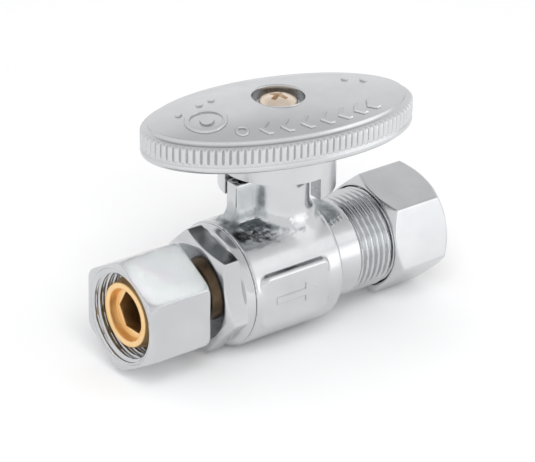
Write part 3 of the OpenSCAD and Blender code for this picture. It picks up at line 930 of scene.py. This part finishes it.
def raw_brass(name, light, dark, roughness, gap_shade=None):
    """Machined brass: fine turning rings, warm tone, and a painted shade, dull brown, where the shade mask is
    set.
    """
    recipe = Recipe(name).set(Metallic=1.0)
    tone = recipe.colour(recipe.noise(160, 5, 0.6), light, dark, 0.3, 0.7)
    # painted shade: a dull brown mixed in by the mesh's mask, standing in for shadow
    if gap_shade:
        brown = recipe.colour(recipe.noise(420, 4), gap_shade, tuple(0.6 * c for c in gap_shade))
        tone = recipe.blend(recipe.attribute("gap_shade"), tone, brown)
    recipe.drive("Base Color", tone)
    recipe.drive("Roughness", recipe.spread(recipe.noise(500, 4), roughness - 0.05, roughness + 0.09,
                                            0.3, 0.7))
    recipe.bump(recipe.wave("RINGS", 900, 0.6), 0.006)
    recipe.bump(recipe.wave("BANDS", 900, 0.6), 0.006)
    return recipe


def steel_screw():
    recipe = Recipe("screw_zinc").set(Metallic=1.0)
    recipe.drive("Base Color", recipe.colour(recipe.noise(300, 5), (0.84, 0.72, 0.6), (0.72, 0.6, 0.48)))
    recipe.drive("Roughness", recipe.spread(recipe.noise(900, 4), 0.2, 0.36, 0.3, 0.7))
    recipe.bump(recipe.noise(1400, 4), 0.012)
    return recipe


def rubber():
    recipe = Recipe("seal_rubber").set(Metallic=0.0)
    recipe.drive("Base Color", recipe.colour(recipe.noise(300, 4), (0.018, 0.018, 0.019),
                                             (0.035, 0.034, 0.033)))
    recipe.drive("Roughness", recipe.spread(recipe.noise(800, 4), 0.42, 0.6, 0.3, 0.7))
    recipe.bump(recipe.noise(2200, 4), 0.01)
    return recipe


def white_plastic():
    recipe = Recipe("seat_plastic").set(Metallic=0.0)
    recipe.drive("Base Color", recipe.colour(recipe.noise(200, 4), (0.82, 0.81, 0.78), (0.74, 0.73, 0.69)))
    recipe.drive("Roughness", recipe.spread(recipe.noise(700, 4), 0.34, 0.5, 0.3, 0.7))
    recipe.bump(recipe.wave("RINGS", 700, 0.4), 0.006)
    return recipe


def dress(obj, recipe):
    obj.data.materials.clear()
    obj.data.materials.append(recipe.material)


def store_mask(obj, name, mask):
    layer = obj.data.attributes.new(name, "FLOAT", "POINT")
    layer.data.foreach_set("value", mask.astype(np.float32))


def points_of(obj):
    """The mesh's points as x, y and z arrays, in mm from the stem."""
    co = np.empty(len(obj.data.vertices) * 3)
    obj.data.vertices.foreach_get("co", co)
    return (co.reshape(-1, 3) / MM - STEM).T


def paint_gap_shade(tailpiece):
    """Painted shade: the shank behind the flange, in the shaded gap between the swivel nut and the adapter,
    is painted dull brown; the nose is bright.
    """
    shank_x = -29.4
    store_mask(tailpiece, "gap_shade", smooth((points_of(tailpiece)[0] - shank_x) / 0.5))


def paint_cast_skin(body):
    """Where the forging's skin was left unpolished: round the boss's foot, on the lug and in the
    corners by the neck. Stored on the mesh as cast_skin, 0 to 1."""
    x, y, z = points_of(body)
    r_pipe = np.hypot(y, z)
    wander = ripple(x * 0.8, y * 0.8, z * 0.8)
    on_barrel = smooth((13.75 - r_pipe) / 0.5)
    top = smooth((z - 10.6 + 0.12 * x + 0.9 * wander) / 1.0) * on_barrel
    foot = top * smooth((x + 13.9 + 0.4 * wander) / 0.8) * smooth((1.4 - x + wander) / 1.6)
    lug_foot = smooth((-10.9 - x) / 0.3) * smooth((17.5 - z + wander) / 2.5) * smooth((z - 12.6) / 0.6) * 0.5
    strip = (smooth((-5.3 - x) / 0.5) * smooth((-y - 1.6) / 0.3) * smooth((z - 13.2) / 1)
             * smooth((21 - z) / 1.5))
    corner = (smooth((x - 4.6) / 0.7) * smooth((7.5 - x) / 0.4) * smooth((z - 11.2 + 0.6 * wander) / 0.7)
              * on_barrel)
    neck = smooth((x - 7.7) / 0.4) * smooth((13.8 - x) / 1.2) * smooth((z - 8.3 + 0.8 * wander) / 0.8)
    mask = np.clip(np.maximum.reduce([foot, lug_foot, strip * 0.7, corner * 0.8, neck * 0.75]), 0, 1)
    store_mask(body, "cast_skin", mask)


# ---------------------------------------------------------------- the object

BUILT = {
    "valve_body": (build_body, "valve", "body_chrome", body_chrome),
    "end_adapter": (build_end_adapter, "valve", "body_chrome",
                    lambda: plated("adapter_chrome", CHROME_LIGHT, CHROME_DARK, 0.12, 0.19)),
    # the tailpiece's dull brown is painted shade on the shank in the gap
    "tailpiece": (build_tailpiece, "valve", "bare_brass",
                  lambda: raw_brass("tailpiece_brass", (0.95, 0.68, 0.37), (0.88, 0.59, 0.28), 0.34,
                                    gap_shade=(0.26, 0.18, 0.11))),
    "swivel_nut": (build_swivel_nut, "swivel_nut", "nut_chrome",
                   lambda: plated("swivel_chrome", CHROME_LIGHT, CHROME_DARK, 0.17, 0.24)),
    "compression_nut": (build_compression_nut, "compression_nut", "nut_chrome",
                        lambda: plated("compression_chrome", CHROME_LIGHT, CHROME_DARK, 0.14, 0.22)),
    "handle": (build_handle, "handle_and_stem", "handle_chrome",
               lambda: plated("handle_chrome", CHROME_LIGHT, (0.57, 0.58, 0.59), 0.2, 0.28, 0.006)),
    "handle_screw": (build_screw, "handle_and_stem", "screw_steel", steel_screw),
}
PAINTED = {"valve_body": paint_cast_skin, "tailpiece": paint_gap_shade}
pieces = {}
for node, (build, body_name, slot, recipe) in BUILT.items():
    piece = pieces[node] = build()
    if node in PAINTED:
        PAINTED[node](piece)
    dress(piece, recipe())
    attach(piece, body_name)
    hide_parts(node)

stem_brass = raw_brass("stem_brass", (0.78, 0.62, 0.36), (0.7, 0.53, 0.28), 0.22)
ferrule_brass = raw_brass("ferrule_brass", (0.86, 0.66, 0.34), (0.76, 0.55, 0.26), 0.2)
ball_chrome = plated("ball_chrome", (0.8, 0.81, 0.82), (0.74, 0.75, 0.76), 0.04, 0.09, 0.002)
seals, seats = rubber(), white_plastic()
KEPT = {"stem": stem_brass, "ferrule": ferrule_brass, "ball": ball_chrome, "adapter_o_ring": seals,
        "tailpiece_o_ring": seals, "lower_stem_o_ring": seals, "upper_stem_o_ring": seals,
        "inlet_seat": seats, "outlet_seat": seats, "stem_thrust_washer": seats}
for node, recipe in KEPT.items():
    dress(frame["nodes"][node], recipe)
    shade(frame["nodes"][node], 32)


# ---------------------------------------------------------------- floor, light and camera

def build_floor():
    half, gap = 1.6, 0.0005
    mesh = bpy.data.meshes.new("floor")
    steps = np.linspace(-half, half, 25)
    points = [(x, y, cad_box[0].z - gap) for x in steps for y in steps]
    n = len(steps)
    faces = [[i * n + j, (i + 1) * n + j, (i + 1) * n + j + 1, i * n + j + 1]
             for i in range(n - 1) for j in range(n - 1)]
    mesh.from_pydata(points, [], faces)
    floor = bpy.data.objects.new("floor", mesh)
    bpy.context.scene.collection.objects.link(floor)
    recipe = Recipe("floor_paper").set(Roughness=0.9)
    recipe.drive("Base Color", recipe.colour(recipe.noise(12, 3), (0.93, 0.93, 0.93), (0.9, 0.9, 0.9)))
    recipe.bump(recipe.noise(900, 3), 0.02)
    dress(floor, recipe)


def area_light(name, place, target, size, radiance, in_reflections=True):
    """A soft rectangular lamp, known by the radiance of its face, that the camera doesn't see."""
    lamp = bpy.data.lights.new(name, "AREA")
    lamp.shape = "RECTANGLE"
    lamp.size, lamp.size_y = size
    lamp.energy = radiance * math.pi * size[0] * size[1]
    obj = bpy.data.objects.new(name, lamp)
    bpy.context.scene.collection.objects.link(obj)
    obj.location = place
    obj.rotation_euler = (Vector(target) - Vector(place)).to_track_quat("-Z", "Y").to_euler()
    obj.visible_camera = False
    obj.visible_glossy = in_reflections
    return obj


def light_all_but(lamp, piece):
    """The lamp lights every piece but one."""
    spared = bpy.data.collections.new("not_lit_by_" + lamp.name)
    spared.objects.link(piece)
    spared.collection_objects[0].light_linking.link_state = "EXCLUDE"
    lamp.light_linking.receiver_collection = spared


def light_only(lamp, target, unseen):
    """The lamp lights one piece only, and another piece doesn't shade it."""
    lamp.data.cycles.use_multiple_importance_sampling = False
    lit = bpy.data.collections.new("lit_by_" + lamp.name)
    lit.objects.link(target)
    lamp.light_linking.receiver_collection = lit
    clear = bpy.data.collections.new("clear_of_" + lamp.name)
    clear.objects.link(unseen)
    clear.collection_objects[0].light_linking.link_state = "EXCLUDE"
    lamp.light_linking.blocker_collection = clear


def build_world():
    world = bpy.data.worlds.new("studio")
    bpy.context.scene.world = world
    world.use_nodes = True
    nodes, links = world.node_tree.nodes, world.node_tree.links
    coord = nodes.new("ShaderNodeTexCoord")
    split = nodes.new("ShaderNodeSeparateXYZ")
    ramp = nodes.new("ShaderNodeValToRGB")
    links.new(coord.outputs["Generated"], split.inputs["Vector"])
    spread = nodes.new("ShaderNodeMapRange")
    fill(spread, From_Min=-1)
    links.new(split.outputs["Z"], spread.inputs["Value"])
    links.new(spread.outputs["Result"], ramp.inputs["Fac"])
    # Height from straight down (0) to straight up (1), and brightness
    stops = [(0.0, 0.55), (0.45, 0.8), (0.52, 1.0), (0.81, 1.0), (0.89, 0.72), (1.0, 0.76)]
    elements = ramp.color_ramp.elements
    while len(elements) < len(stops):
        elements.new(0.5)
    for element, (place, value) in zip(elements, stops):
        element.position = place
        element.color = (value, value, value * 1.01, 1)
    links.new(ramp.outputs["Color"], nodes["Background"].inputs["Color"])


def build_camera():
    """The camera stands 0.63 m away, low on the inlet side, with a long lens."""
    azimuth, elevation, roll = math.radians(-38.627), math.radians(26.019), math.radians(0.978)
    distance, aim = 0.6313, (-1.554, 6.674)
    back = Vector((math.sin(azimuth) * math.cos(elevation), -math.cos(azimuth) * math.cos(elevation),
                   math.sin(elevation)))
    right = Vector((math.cos(azimuth), math.sin(azimuth), 0))
    up = back.cross(right)
    right, up = (math.cos(roll) * right + math.sin(roll) * up, math.cos(roll) * up - math.sin(roll) * right)
    data = bpy.data.cameras.new("camera")
    data.sensor_width = 36
    data.lens = 210.8
    data.clip_start, data.clip_end = 0.01, 20
    camera = bpy.data.objects.new("camera", data)
    bpy.context.scene.collection.objects.link(camera)
    turn = Matrix((right, up, back)).transposed().to_4x4()
    place = Vector(STEM) * MM + back * distance + (right * aim[0] + up * aim[1]) * MM
    camera.matrix_world = Matrix.Translation(place) @ turn
    bpy.context.scene.camera = camera


build_floor()
build_world()
area_light("key", (-0.35, -0.5, 0.6), (0, 0, 0), (0.5, 0.5), 4.6, in_reflections=False)
front = area_light("front", (0.45, -0.65, 0.1), (0, 0, 0), (0.5, 0.36), 0.4)
light_all_but(front, pieces["end_adapter"])
area_light("high_card", (0.42, -0.48, 0.38), (-0.01, 0, 0.005), (0.3, 0.22), 0.35)
low_card = area_light("low_card", (0.088, -0.11, 0.012), (0.013, 0, 0.004), (0.13, 0.05), 0.45)
light_all_but(low_card, pieces["end_adapter"])
softbox = area_light("nut_softbox", (0.16, -0.01, 0.3), (-0.048, -0.005, 0.008), (0.2, 0.2), 0.85)
light_only(softbox, pieces["swivel_nut"], pieces["handle"])
build_camera()
bpy.context.scene.view_settings.view_transform = "Standard"
